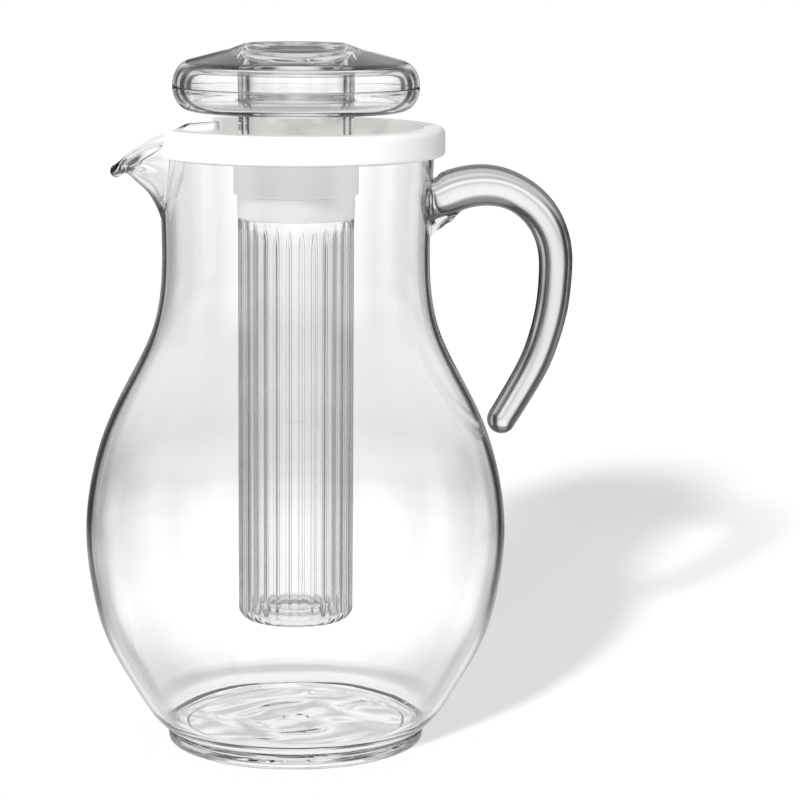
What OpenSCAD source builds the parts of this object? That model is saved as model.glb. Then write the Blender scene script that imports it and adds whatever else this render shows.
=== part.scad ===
// Clear serving pitcher with a hanging ice tube.
// Z points up and the foot stands on Z = 0. The spout points along -X and the handle along +X.

/* [Jug body] */
// Radius of the foot where it meets the bowl
foot_r = 51.4; // [44:0.1:60]
// Height of the foot ring
foot_h = 5.4; // [3:0.1:8]
// How much smaller the foot is at the surface it stands on
foot_draft = 0.9; // [0:0.1:2]
// Radius of the hollow under the foot
foot_recess_r = 43; // [30:0.5:46]
// Depth of the hollow under the foot
foot_recess_d = 1.4; // [0.6:0.1:2.5]
// Greatest radius of the bowl
belly_r = 82.6; // [70:0.1:95]
// Height of the greatest radius
belly_z = 86; // [70:0.5:100]
// Radius of the neck at its narrowest
neck_r = 52.1; // [46:0.1:58]
// Height of the narrowest part of the neck
neck_z = 196; // [180:0.5:205]
// Outer radius of the rim
rim_r = 53.8; // [50:0.1:60]
// Height of the rim
rim_z = 241.6; // [230:0.1:255]
// Thickness of the moulded wall
wall = 2.2; // [1.6:0.1:3]
// Height of the inside floor
floor_z = 7.4; // [5:0.1:10]
// Radius of the flat part of the inside floor
floor_r = 46.6; // [35:0.1:48]
// Radius of the gate mark in the middle of the floor
gate_r = 5; // [2:0.5:8]
// Depth of the gate mark
gate_d = 0.6; // [0.2:0.1:1]

/* [Spout] */
// Reach of the middle of the lip's bead from the middle of the jug
spout_r = 70; // [62:0.1:82]
// Half the width of the spout where it leaves the neck
spout_half_w = 25.6; // [16:0.1:26.5]
// Height at which the spout leaves the neck
spout_root_z = 203; // [195:0.5:215]
// Height at which the spout has its full width
spout_full_z = 236; // [225:0.5:240]
// How far the bead's middle lies below the rim at the tip
spout_drop = 16.2; // [8:0.1:22]
// Radius of the bead at the tip of the lip
lip_r = 2.6; // [1.6:0.1:3]
// Radius of the bead beside the neck
lip_side_r = 1.1; // [0.8:0.1:1.2]

/* [Handle] */
// Greatest distance of the bar's middle line from the neck
handle_reach = 49; // [38:0.5:60]
// Height of the highest point of the middle line
handle_top_z = 220.5; // [205:0.1:224]
// Height of the free end's middle
handle_end_z = 128.3; // [110:0.5:150]
// Thickness of the bar at the top of its bow
bar_t = 16; // [10:0.1:20]
// Thickness of the bar at its free end
bar_end_t = 11.2; // [7:0.1:14]
// Width of the bar at the top of its bow
bar_w = 16.5; // [10:0.1:22]
// Width of the bar at its free end
bar_end_w = 13; // [8:0.1:18]
// Height of the thin gusset under the root
gusset_h = 14; // [8:0.5:18]
// Reach of the gusset from the neck
gusset_l = 12.5; // [8:0.5:16]
// Thickness of the gusset
gusset_t = 4; // [3:0.1:8]

/* [Lid] */
// Outer radius of the lid's rim
lid_r = 57.7; // [55.5:0.1:64]
// Height of the lid's skirt
skirt_h = 11; // [7:0.1:16]
// Thickness of the web that rests on the jug's rim
web_t = 1.6; // [1.2:0.1:2.4]
// Radius of the rounded outer top edge
lid_edge_r = 2.6; // [1:0.1:3.2]
// Radius of the rounded outer bottom edge
skirt_edge_r = 1.6; // [0.5:0.1:1.8]
// Thickness of the wall and floor of the sunken dish
dish_t = 2; // [1.4:0.1:2.4]
// Depth of the sunken dish
dish_d = 8.7; // [6:0.1:10]
// Depth to which the dish wall is cut down beside the spout
weir_d = 4.6; // [2.5:0.1:5.5]
// Half the angle of the gap left for the spout
gap_half_angle = 41.5; // [41:0.1:60]
// Angle that the lid is turned round from the spout
lid_turn = 9.8; // [0:0.1:10]
// Outer radius of the collar that hangs under the dish
collar_r = 24.3; // [23.8:0.1:28]
// Height of the collar below the top of the lid
collar_h = 26.3; // [24:0.1:32]
// Height of the lower part of the collar, which takes the tube's thread
socket_h = 7.6; // [5:0.1:10]
// Wall of the lower part of the collar
socket_t = 1.8; // [1.5:0.1:2.2]
// Height of the ledge inside the collar
ledge_h = 1.5; // [1:0.1:2]
// Width of the ledge inside the collar
ledge_w = 2.4; // [1.8:0.1:3]
// Chamfer of the collar's lower edge
collar_chamfer = 0.7; // [0.2:0.1:0.8]

/* [Ice tube] */
// Outer radius of the tube
tube_r = 22.65; // [18:0.05:24]
// Length of the clear tube below its white collar
tube_l = 159.6; // [100:0.5:172]
// Wall of the tube
tube_t = 1.7; // [1.2:0.1:2.5]
// Radius of the rounded bottom corner
tube_corner_r = 7.6; // [4:0.1:9]
// Radius of the raised middle of the bottom
punt_r = 12.6; // [8:0.1:13.5]
// Height of the raised middle of the bottom
punt_h = 4.6; // [2:0.1:6]
// Number of flutes round the tube
flutes = 28; // [16:1:32]
// Radius of the hollow of each flute
flute_r = 6; // [4:0.1:9]
// Depth of each flute
flute_d = 0.45; // [0.2:0.05:0.6]
// Plain length above the flutes
flute_top = 3; // [1:0.5:10]
// Height of the white collar's band
band_h = 8.9; // [6:0.1:14]
// Outer radius of the white collar's band
band_r = 22.9; // [18.5:0.05:24.2]
// Wall of the band round the tube's plain neck
band_t = 1.8; // [1.2:0.1:2.4]
// Wall of the spigot
spigot_t = 2; // [1.4:0.1:2.6]
// Height of the tube's plain neck inside the band
tube_neck_h = 7; // [4:0.1:8]

/* [Knob] */
// Greatest radius of the knob
knob_r = 47.8; // [38:0.1:56]
// Height of the knob's seam above the lid
seam_h = 15.2; // [12:0.1:20]
// Gap between the lid and the flat bottom of the knob
knob_gap = 5.8; // [4:0.1:10]
// Radius at which the flat bottom and the sloping top end
knob_edge_r = 40.2; // [32:0.1:44]
// Height of the crisp upper edge above the seam
crown_h = 10.2; // [7:0.1:13]
// Radius at which the slope turns into the steeper bevel of the top
bevel_r = 24.6; // [22:0.1:30]
// Height of the slope above the crisp upper edge
slope_h = 4.4; // [2:0.1:6]
// Height of the bevel
bevel_h = 1.9; // [1:0.1:4]
// Inner radius of the flat lip round the recess
recess_r = 18.6; // [14:0.1:20.5]
// Width of the flat lip round the recess
recess_lip = 1; // [0.6:0.1:2]
// Depth of the recess in the top
recess_d = 5.4; // [3:0.1:7]
// How much the recess narrows towards its floor
recess_draft = 1.6; // [0:0.1:3]
// Wall of the knob
knob_t = 3; // [2:0.1:4]
// Outer radius of the stem
stem_r = 22.6; // [19:0.05:23]
// Wall of the stem
stem_t = 2.4; // [1.6:0.1:3.2]

/* [Seals] */
// Thickness of the flat ring between the tube and the lid
tube_seal_t = 1.5; // [1:0.1:2]
// Width of the flat ring between the tube and the lid
tube_seal_w = 1.8; // [1.2:0.1:2]
// Thickness of the ring round the stem
stem_seal_t = 1.6; // [1:0.1:2]
// Height of the ring above the stem's lower end
stem_seal_z = 4; // [2:0.1:6]

/* [Clearances] */
// Gap between the stem and the collar round it
stem_gap = 0.15; // [0.05:0.05:0.4]
// Gap between the spigot and the collar round it
thread_gap = 0.1; // [0.05:0.05:0.3]
// Gap between the skirt or the dish and the jug's neck
lid_gap = 0.45; // [0.3:0.05:0.8]
// Gap between parts that are bonded together
bond_gap = 0.05; // [0.02:0.01:0.1]

/* [Hidden] */

$fn = 96;
// Overrun of every cut, so that no cut ends flush with a face
over = 1;

// Colours of the clear plastic, the white plastic and the silicone
clear = [0.86, 0.9, 0.92, 0.4];
white = [0.95, 0.95, 0.94];
silicone = [0.82, 0.84, 0.85, 0.8];

// Bowl from the foot up to the belly: shares of the rise, then of the growth in radius
bowl_shares = [[0, 0], [0.045, 0.13], [0.107, 0.253], [0.258, 0.49], [0.459, 0.763], [0.711, 0.935], [1, 1]];
// Shoulder from the belly up to the neck: shares of the rise, then of the fall in radius
shoulder_shares = [[0.172, 0.073], [0.354, 0.262], [0.536, 0.579], [0.718, 0.884], [0.9, 0.992], [1, 1]];
// Underside of the spout in its middle: shares of the rise to the rim, then of the reach from the neck
spout_shares = [[0, -0.13], [0.1, 0], [0.166, 0.045], [0.285, 0.173], [0.365, 0.302], [0.425, 0.43],
                [0.487, 0.581], [0.585, 0.82], [0.612, 0.93], [0.65, 1.06], [0.74, 1.2], [1.05, 1.35]];
// Edge of the spout seen from the side: shares of the reach, then of the drop to the tip
edge_shares = [[0.64, 0], [0.664, 0.03], [0.705, 0.163], [0.761, 0.25], [0.815, 0.36], [0.869, 0.51],
               [0.922, 0.675], [0.959, 0.84], [1, 1], [1.08, 1.3]];
// Power that draws the spout's plan between a diamond and an ellipse
nose_power = 4 / 3;
// How far the bead's middle lies out from the spout's edge and below it, as shares of the bead's radius
curl_out_share = 0.48;
curl_down_share = 0.42;
// Handle's middle line: shares of the reach, of the height from the free end, and of the thinning to the end
bar_shares = [[-0.03, 0.919, -0.5], [0.09, 0.957, -0.23], [0.273, 0.992, -0.12], [0.478, 1, 0.02],
              [0.682, 0.968, 0.31], [0.841, 0.904, 0.42], [0.947, 0.818, 0.52], [0.998, 0.716, 0.58],
              [1, 0.608, 0.65], [0.976, 0.481, 0.71], [0.929, 0.373, 0.79], [0.859, 0.263, 0.85],
              [0.751, 0.15, 0.92], [0.586, 0, 1]];
// Power of the handle's cross-section: 2 is an ellipse, more is squarer
bar_power = 2.3;
// Steps of the smooth curves, sides of the handle's bar and of the lip
curve_steps = 5;
bar_sides = 24;
lip_sides = 12;
nose_steps = 28;
lip_steps = 32;
bar_steps = 3;

top_z = rim_z + web_t;
skirt_in_r = rim_r + lid_gap;
ledge_z = top_z - collar_h + socket_h;
stem_z = ledge_z + ledge_h;
socket_r = collar_r - socket_t;
stem_bore_r = stem_r + stem_gap;
ledge_r = stem_bore_r - ledge_w;
collar_z = top_z - collar_h;
band_z = collar_z - band_h;
spigot_r = socket_r - thread_gap;
tube_bore_r = tube_r - tube_t;
spigot_h = socket_h - tube_seal_t;
tube_neck_r = band_r - band_t - bond_gap;
tube_z = band_z - tube_l;
seam_z = top_z + seam_h;
knob_bottom_z = top_z + knob_gap;
crown_z = seam_z + crown_h;
bevel_z = crown_z + slope_h;
knob_top_z = bevel_z + bevel_h;
recess_z = knob_top_z - recess_d;

// One point of a smooth curve through four neighbouring points
function curve_point(a, b, c, d, t) =
    0.5 * (2 * b + (c - a) * t + (2 * a - 5 * b + 4 * c - d) * t * t + (3 * b - a - 3 * c + d) * t * t * t);
// A smooth curve through all the points, with the given steps between neighbours
function smooth(points, steps) = let (last = len(points) - 1) [
    for (i = [0:last - 1])
        for (k = [0:steps - 1])
            curve_point(points[max(i - 1, 0)], points[i], points[i + 1], points[min(i + 2, last)], k / steps),
    points[last]];
// The points moved to the left of their direction by a distance
function beside(points, distance) = let (last = len(points) - 1) [
    for (i = [0:last])
        let (d = points[min(i + 1, last)] - points[max(i - 1, 0)])
            points[i] + distance * [-d[1], d[0]] / norm(d)];
// A quarter of an ellipse from one angle to another
function arc(centre, rx, ry, from, to, steps) = [
    for (i = [0:steps]) let (a = from + (to - from) * i / steps) centre + [rx * cos(a), ry * sin(a)]];
function mix(a, b, t) = a + (b - a) * t;
function spow(v, p) = sign(v) * pow(abs(v), p);

// A closed solid through a stack of rings that have the same number of points
module skin(rings) {
    n = len(rings[0]);
    last = len(rings) - 1;
    polyhedron(
        points = [for (r = rings) for (p = r) p],
        faces = concat(
            [[for (k = [n - 1:-1:0]) k]],
            [for (j = [0:last - 1]) for (k = [0:n - 1]) [j * n + k, (j + 1) * n + (k + 1) % n, (j + 1) * n + k]],
            [for (j = [0:last - 1]) for (k = [0:n - 1]) [j * n + k, j * n + (k + 1) % n, (j + 1) * n + (k + 1) % n]],
            [[for (k = [0:n - 1]) last * n + k]]));
}

// Outside of the jug from the foot to the rim, as radius and height
jug_outline = smooth(concat(
    [for (s = bowl_shares) [mix(foot_r, belly_r, s[1]), mix(foot_h, belly_z, s[0])]],
    [for (s = shoulder_shares) [mix(belly_r, neck_r, s[1]), mix(belly_z, neck_z, s[0])]],
    [[mix(neck_r, rim_r, 0.5), mix(neck_z, rim_z, 0.55)], [rim_r, rim_z]]), curve_steps);
// Outer radius of the jug at a height
function jug_r(z) = lookup(z, [for (p = jug_outline) [p[1], p[0]]]);
dish_r = min(rim_r, jug_r(top_z - dish_d - dish_t)) - wall - lid_gap;
jug_inside = [for (p = beside(jug_outline, wall)) if (p[1] > floor_z + wall && p[1] < rim_z - wall) p];

module jug_outer() {
    rotate_extrude()
        polygon(concat([[0, 0], [foot_r - foot_draft, 0]], jug_outline, [[0, rim_z]]));
}

module jug_hollow() {
    rotate_extrude()
        polygon(concat([[0, floor_z], [floor_r, floor_z]], jug_inside,
                       [[rim_r - wall, rim_z], [rim_r - wall, rim_z + over], [0, rim_z + over]]));
}

// Middle profile of the spout, as reach and height
spout_profile = smooth([for (s = spout_shares)
    [mix(neck_r, spout_r, s[1]), mix(spout_root_z, rim_z, s[0])]], 2);
// Line of the lip's middle seen from the side, as distance along X and height
edge_line = smooth([for (s = edge_shares) [-spout_r * s[0], rim_z - spout_drop * s[1]]], 3);
function edge_z(x) = lookup(x, [for (i = [len(edge_line) - 1:-1:0]) edge_line[i]]);
function spout_width(z) =
    let (t = min(max((z - spout_root_z) / (spout_full_z - spout_root_z), 0), 1)) pow(sin(90 * t), 0.9);
// Where a side of the spout meets the given radius of the neck
function nose_start(radius, half_w) = sqrt(radius * radius - half_w * half_w);
// One point of the spout's plan, from the side at -90 degrees through the tip at 0
function nose(start, reach, half_w, u) =
    [-(start + (reach - start) * spow(cos(u), nose_power)), half_w * spow(sin(u), nose_power)];

spout_start = nose_start(rim_r, spout_half_w);
// Height of the spout's edge at one side angle, found by repeated halving of the step towards it
function edge_at(u, z, tries) = tries == 0 ? z :
    let (reach = lookup(z, [for (p = spout_profile) [p[1], p[0]]]))
    edge_at(u, mix(z, edge_z(nose(spout_start, reach, spout_half_w * spout_width(z), u)[0]), 0.5), tries - 1);
// Point of the spout's outside on its edge
function edge_point(u) =
    let (z = edge_at(u, rim_z - spout_drop / 2, 12), reach = lookup(z, [for (p = spout_profile) [p[1], p[0]]]),
         q = nose(spout_start, reach, spout_half_w * spout_width(z), u)) [q[0], q[1], z];

// The spout as a solid beak, smaller by the inset; it starts inside the neck so that it cuts through the wall
module beak(inset) {
    start = spout_start;
    back = nose_start(neck_r, spout_half_w) - over * 4 - inset;
    skin([for (p = spout_profile)
        let (half_w = max(spout_half_w * spout_width(p[1]) - inset, over / 2),
             reach = max(p[0] - inset, start + over))
            concat([for (i = [0:nose_steps])
                        let (q = nose(start, reach, half_w, -90 + 180 * i / nose_steps)) [q[0], q[1], p[1]]],
                   [[-back, half_w, p[1]], [-back, -half_w, p[1]]])]);
}

// Everything above the edge of the spout
module above_edge() {
    rotate([90, 0, 0])
        linear_extrude(height = 2 * belly_r, center = true)
            polygon(concat(edge_line, [[-2 * spout_r, edge_line[len(edge_line) - 1][1]], [-2 * spout_r, 2 * rim_z],
                                       [0, 2 * rim_z], [0, rim_z], [edge_line[0][0], rim_z]]));
}

// A round bar along a path, with its own radius at each point
module rope(path, radii, sides) {
    last = len(path) - 1;
    skin([for (i = [0:last])
        let (d = path[min(i + 1, last)] - path[max(i - 1, 0)], t = d / norm(d),
             s = cross(t, [0, 0, 1]) / norm(cross(t, [0, 0, 1])), up = cross(s, t))
            [for (k = [0:sides - 1]) path[i] + radii[i] * (cos(360 * k / sides) * s + sin(360 * k / sides) * up)]]);
}

// Bead along the spout's edge, from inside the neck's wall on one side to the other
module spout_lip() {
    edge = [for (i = [0:lip_steps]) edge_point(-90 + 180 * i / lip_steps)];
    radii = [for (i = [0:lip_steps]) mix(lip_r, lip_side_r, sqrt(abs(2 * i / lip_steps - 1)))];
    bead = [for (i = [0:lip_steps])
        let (along = edge[min(i + 1, lip_steps)] - edge[max(i - 1, 0)], out = [-along[1], along[0], 0])
            edge[i] + radii[i] * (curl_out_share * out / norm(out) - [0, 0, curl_down_share])];
    root = [edge[0][0] * (1 - wall / rim_r), edge[0][1] * (1 - wall / rim_r), bead[0][2]];
    rope(concat([root], bead, [[root[0], -root[1], root[2]]]),
         concat([lip_side_r], radii, [lip_side_r]), lip_sides);
}

module pitcher_body() color(clear) {
    difference() {
        union() {
            difference() {
                union() {
                    jug_outer();
                    beak(0);
                }
                beak(wall);
                jug_hollow();
                above_edge();
            }
            difference() {
                spout_lip();
                jug_hollow();
            }
        }
        translate([0, 0, -over])
            cylinder(r = foot_recess_r, h = foot_recess_d + over);
        translate([0, 0, floor_z - gate_d])
            cylinder(r = gate_r, h = gate_d + over);
    }
}

// Middle line of the handle, as distance from the middle of the jug, height and share of the thinning
bar_line = smooth([for (s = bar_shares)
    [neck_r + handle_reach * s[0], mix(handle_end_z, handle_top_z, s[1]), s[2]]], bar_steps);
function bar_ring(centre, along, thick, wide) = let (out = [-along[1], along[0]]) [
    for (k = [0:bar_sides - 1]) let (a = 360 * k / bar_sides)
        let (o = thick / 2 * spow(cos(a), 2 / bar_power), y = wide / 2 * spow(sin(a), 2 / bar_power))
            [centre[0] + o * out[0], y, centre[1] + o * out[1]]];
function flat(p) = [p[0], p[1]];
bar_rings =
    let (last = len(bar_line) - 1, end = flat(bar_line[last]) - flat(bar_line[last - 1]), along = end / norm(end))
    concat(
        [for (i = [0:last])
            let (d = flat(bar_line[min(i + 1, last)]) - flat(bar_line[max(i - 1, 0)]), s = bar_line[i][2])
                bar_ring(bar_line[i], d / norm(d), mix(bar_t, bar_end_t, s), mix(bar_w, bar_end_w, s))],
        [for (a = [18:18:72])
            bar_ring(flat(bar_line[last]) + along * bar_end_t / 2 * sin(a), along,
                     bar_end_t * cos(a), bar_end_w * cos(a))]);

module gusset() {
    top = mix(handle_end_z, handle_top_z, bar_shares[0][1]);
    translate([0, gusset_t / 2, 0])
        rotate([90, 0, 0])
            linear_extrude(height = gusset_t)
                polygon([[neck_r - wall, top - gusset_h], [neck_r + bond_gap, top - gusset_h],
                         [neck_r + gusset_l, top - bar_t / 5], [neck_r - wall, top]]);
}

module handle() color(clear) {
    difference() {
        union() {
            skin(bar_rings);
            gusset();
        }
        rotate_extrude()
            polygon([for (p = concat([[0, 0]], jug_outline, [[0, rim_z]])) p + [p[0] > 0 ? bond_gap : 0, 0]]);
    }
}

// Section of the lid: dish, web, skirt, and the collar with its ledge
module lid_section() {
    polygon(concat(
        [[stem_bore_r, top_z - dish_d], [dish_r - dish_t, top_z - dish_d], [dish_r - dish_t, top_z]],
        arc([lid_r - lid_edge_r, top_z - lid_edge_r], lid_edge_r, lid_edge_r, 90, 0, 8),
        arc([lid_r - skirt_edge_r, top_z - skirt_h + skirt_edge_r], skirt_edge_r, skirt_edge_r, 0, -90, 6),
        [[skirt_in_r, top_z - skirt_h], [skirt_in_r, rim_z], [dish_r, rim_z], [dish_r, top_z - dish_d - dish_t],
         [collar_r, top_z - dish_d - dish_t], [collar_r, collar_z + collar_chamfer],
         [collar_r - collar_chamfer, collar_z], [socket_r, collar_z], [socket_r, ledge_z], [ledge_r, ledge_z],
         [ledge_r, stem_z], [stem_bore_r, stem_z]]));
}

// The gap for the spout: the skirt goes, and the dish wall is cut down
module lid_gap_cut() {
    between_r = (dish_r + skirt_in_r) / 2;
    rotate([0, 0, 180 - gap_half_angle])
        rotate_extrude(angle = 2 * gap_half_angle)
            polygon([[between_r, top_z - skirt_h - over], [lid_r + over, top_z - skirt_h - over],
                     [lid_r + over, top_z + over], [dish_r - dish_t - over, top_z + over],
                     [dish_r - dish_t - over, top_z - weir_d], [between_r, top_z - weir_d]]);
}

module lid() color(white) rotate([0, 0, -lid_turn]) {
    difference() {
        rotate_extrude()
            lid_section();
        lid_gap_cut();
    }
}

module tube_collar() color(white) {
    rotate_extrude()
        polygon([
            [tube_neck_r + bond_gap, band_z],
            [band_r, band_z],
            [band_r, collar_z],
            [spigot_r, collar_z],
            [spigot_r, collar_z + spigot_h],
            [spigot_r - spigot_t, collar_z + spigot_h],
            [spigot_r - spigot_t, band_z + tube_neck_h + bond_gap],
            [tube_neck_r + bond_gap, band_z + tube_neck_h + bond_gap]]);
}

module tube_seal() color(silicone) {
    translate([0, 0, collar_z + spigot_h])
        difference() {
            cylinder(r = spigot_r, h = tube_seal_t);
            translate([0, 0, -over])
                cylinder(r = spigot_r - tube_seal_w, h = tube_seal_t + 2 * over);
        }
}

// Section of the tube: outside from the raised middle out and up, then inside back down
module tube_section() {
    inner_punt = tube_z + punt_h + tube_t;
    polygon(concat(
        [[0, inner_punt], [0, tube_z + punt_h], [punt_r - tube_t, tube_z + punt_h], [punt_r, tube_z]],
        arc([tube_r - tube_corner_r, tube_z + tube_corner_r], tube_corner_r, tube_corner_r, -90, 0, 10),
        [[tube_r, band_z], [tube_neck_r, band_z], [tube_neck_r, band_z + tube_neck_h],
         [tube_neck_r - tube_t, band_z + tube_neck_h], [tube_neck_r - tube_t, band_z - tube_t],
         [tube_bore_r, band_z - 2 * tube_t]],
        arc([tube_r - tube_corner_r, tube_z + tube_corner_r], tube_corner_r - tube_t, tube_corner_r - tube_t,
            0, -90, 10),
        [[punt_r + tube_t / 2, tube_z + tube_t], [punt_r, inner_punt]]));
}

module ice_tube() color(clear) {
    flute_x = tube_r - flute_d + flute_r;
    flute_z = tube_z + tube_corner_r / 2;
    difference() {
        rotate_extrude()
            tube_section();
        for (i = [0:flutes - 1])
            rotate([0, 0, 360 * i / flutes])
                translate([flute_x, 0, flute_z])
                    cylinder(r = flute_r, h = band_z - flute_top - flute_z, $fn = 48);
    }
}

module knob_base() color(clear) {
    difference() {
        rotate_extrude()
            polygon(concat(
                [[stem_r - stem_t, stem_z], [stem_r, stem_z], [stem_r, knob_bottom_z]],
                arc([knob_edge_r, seam_z], knob_r - knob_edge_r, seam_z - knob_bottom_z, -90, 0, 10),
                arc([knob_edge_r, seam_z], knob_r - knob_edge_r - knob_t, seam_z - knob_bottom_z - knob_t, 0, -90, 8),
                [[stem_r, knob_bottom_z + knob_t], [stem_r, recess_z - knob_t],
                 [stem_r - stem_t, recess_z - knob_t]]));
        translate([0, 0, stem_z + stem_seal_z])
            difference() {
                cylinder(r = stem_r + over, h = stem_seal_t);
                translate([0, 0, -over])
                    cylinder(r = stem_bore_r - stem_seal_t, h = stem_seal_t + 2 * over);
            }
    }
}

module knob_top() color(clear) {
    rotate_extrude()
        polygon(concat(
            arc([knob_edge_r, seam_z], knob_r - knob_edge_r, crown_h, 0, 90, 10),
            [[bevel_r, bevel_z], [recess_r + recess_lip, knob_top_z], [recess_r, knob_top_z],
             [recess_r - recess_draft, recess_z], [0, recess_z], [0, recess_z - knob_t], [stem_r, recess_z - knob_t],
             [stem_r, crown_z], [knob_edge_r, crown_z - knob_t]],
            arc([knob_edge_r, seam_z], knob_r - knob_edge_r - knob_t, crown_h - knob_t, 90, 0, 8)));
}

module knob_seal() color(silicone) {
    translate([0, 0, stem_z + stem_seal_z])
        difference() {
            cylinder(r = stem_bore_r - bond_gap, h = stem_seal_t);
            translate([0, 0, -over])
                cylinder(r = stem_bore_r - stem_seal_t + bond_gap, h = stem_seal_t + 2 * over);
        }
}

pitcher_body();
handle();
lid();
tube_collar();
tube_seal();
ice_tube();
knob_top();
knob_base();
knob_seal();
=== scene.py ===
# %% [markdown]
# # A clear pitcher with a hanging ice tube
# The jug, its handle, the fluted ice tube and the round knob are clear injection-moulded plastic. The
# lid and the tube's collar are moulded in white. The same forms could be drawn by hand, but clear plastic
# shows every bump, so each piece is a surface worked out with numpy. All numbers are millimetres in the
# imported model's own frame: Z up, the spout along -X, the handle along +X, the foot on Z = 0.

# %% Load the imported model
import math

import bmesh
import bpy
import numpy as np
from mathutils import Matrix, Vector


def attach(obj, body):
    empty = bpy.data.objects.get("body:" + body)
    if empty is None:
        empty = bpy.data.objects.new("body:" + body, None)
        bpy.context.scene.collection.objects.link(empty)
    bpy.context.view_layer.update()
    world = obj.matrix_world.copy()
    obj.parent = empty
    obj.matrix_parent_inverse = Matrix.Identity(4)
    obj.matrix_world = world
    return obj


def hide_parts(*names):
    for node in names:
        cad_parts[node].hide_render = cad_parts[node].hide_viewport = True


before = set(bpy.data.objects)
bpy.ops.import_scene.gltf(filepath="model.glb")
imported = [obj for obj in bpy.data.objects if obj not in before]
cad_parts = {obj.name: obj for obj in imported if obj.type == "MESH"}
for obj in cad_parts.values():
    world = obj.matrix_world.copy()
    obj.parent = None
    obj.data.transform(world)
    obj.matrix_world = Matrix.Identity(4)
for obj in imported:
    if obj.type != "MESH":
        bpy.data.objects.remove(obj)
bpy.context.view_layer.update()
print("CAD nodes:", sorted(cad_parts))

# %% [markdown]
# ## Camera
# The photograph looks down by almost ten degrees through a long lens, from about 1.1 m. A long lens keeps
# the rim's and the foot's ellipses nearly alike. A camera placed by eye would miss that, so its numbers
# were worked out from those ellipses and the outline. The picture is square, so one field of view serves
# both its sides.

# %% Camera at the photograph's place
distance, height, focal_px, picture_px = 1.0900, 0.32265, 2809.8, 800
object_turn, pitch, roll, yaw = (math.radians(a) for a in (1.5, 9.735, 0.405, 2.149))
forward = Vector((math.sin(yaw) * math.cos(pitch), math.cos(yaw) * math.cos(pitch), -math.sin(pitch)))
level = Vector((math.cos(yaw), -math.sin(yaw), 0))
upright = level.cross(forward)
across = math.cos(roll) * level + math.sin(roll) * upright
upward = math.cos(roll) * upright - math.sin(roll) * level
camera_data = bpy.data.cameras.new("photo_camera")
camera_data.sensor_width = 36
camera_data.lens = focal_px / picture_px * camera_data.sensor_width
camera_data.clip_start, camera_data.clip_end = 0.05, 20
camera = bpy.data.objects.new("photo_camera", camera_data)
bpy.context.scene.collection.objects.link(camera)
bpy.context.scene.camera = camera
axes = Matrix((across, upward, -forward)).transposed().to_4x4()
stand = Matrix.Translation((0, -distance, height))
camera.matrix_world = Matrix.Rotation(object_turn, 4, "Z") @ stand @ axes
print("camera at", [round(c, 3) for c in camera.matrix_world.translation], "m")
print("lens of", round(camera_data.lens, 1), "mm")

# %% [markdown]
# ## The jug's outside
# The jug is one moulding of a clear styrene plastic: a foot ring, a round bowl, a narrow neck and a rim.
# Its outside was measured as radius and height. Straight pieces between those points, or a curve with
# handles set by hand, would leave kinks that a reflection shows. A cubic spline has none, because its slope
# and its bend both run on through each point.


# %% Outside line of the jug
def distance_along(line):
    """Each point's distance from the first along the line: the running sum of the steps' lengths."""
    return np.concatenate([[0], np.cumsum(np.linalg.norm(np.diff(line, axis=0), axis=1))])


def smooth_through(points, count):
    """A natural cubic spline through the points, with the distance along the chords as its parameter.
    Its second derivatives solve one linear system. At each inner point, a sixth of each neighbour's times
    the step to it, plus a third of its own times both steps, equals the change of slope."""
    p = np.asarray(points, float)
    t = distance_along(p[:, :2])
    h = np.diff(t)
    n = len(p)
    system = np.eye(n)
    inner = np.arange(1, n - 1)
    system[inner, inner - 1] = h[:-1] / 6
    system[inner, inner] = (h[:-1] + h[1:]) / 3
    system[inner, inner + 1] = h[1:] / 6
    slopes = np.diff(p, axis=0) / h[:, None]
    unbent = np.zeros_like(p[:1])
    bends = np.linalg.solve(system, np.vstack([unbent, np.diff(slopes, axis=0), unbent]))
    s = np.linspace(0, t[-1], count)
    k = np.clip(np.searchsorted(t, s, side="right") - 1, 0, n - 2)
    a = ((t[k + 1] - s) / h[k])[:, None]
    b = ((s - t[k]) / h[k])[:, None]
    w = h[k][:, None] ** 2 / 6
    return a * p[k] + b * p[k + 1] + ((a**3 - a) * bends[k] + (b**3 - b) * bends[k + 1]) * w


belly_r, rim_r, rim_z = 82.6, 53.8, 241.6
outside = smooth_through([
    (51.4, 5.4), (55.46, 9.03), (59.29, 14.02), (66.69, 26.19), (75.21, 42.4), (80.57, 62.71),
    (belly_r, 86), (80.37, 104.92), (74.61, 124.94), (64.94, 144.96), (55.64, 164.98), (52.34, 185),
    (52.1, 196), (52.95, 221), (rim_r, rim_z), (53.92, 246)], 600)
outside[:, 0] = np.minimum(outside[:, 0], belly_r)
print("the outside reaches", outside[:, 0].max().round(2), "mm from the axis")

# %% [markdown]
# ## The jug's inside, foot and floor
# The inside is the outside moved in by the wall's 2.2 mm, down to a curve into a thick flat floor. The foot
# is a flat ring with small edges. No moulded edge is perfectly sharp, and a rounded edge is what catches
# the light. A Bevel modifier could round the finished mesh, but it stumbles where fine edges meet, so the
# outline gets its arcs before it becomes a surface.


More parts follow.
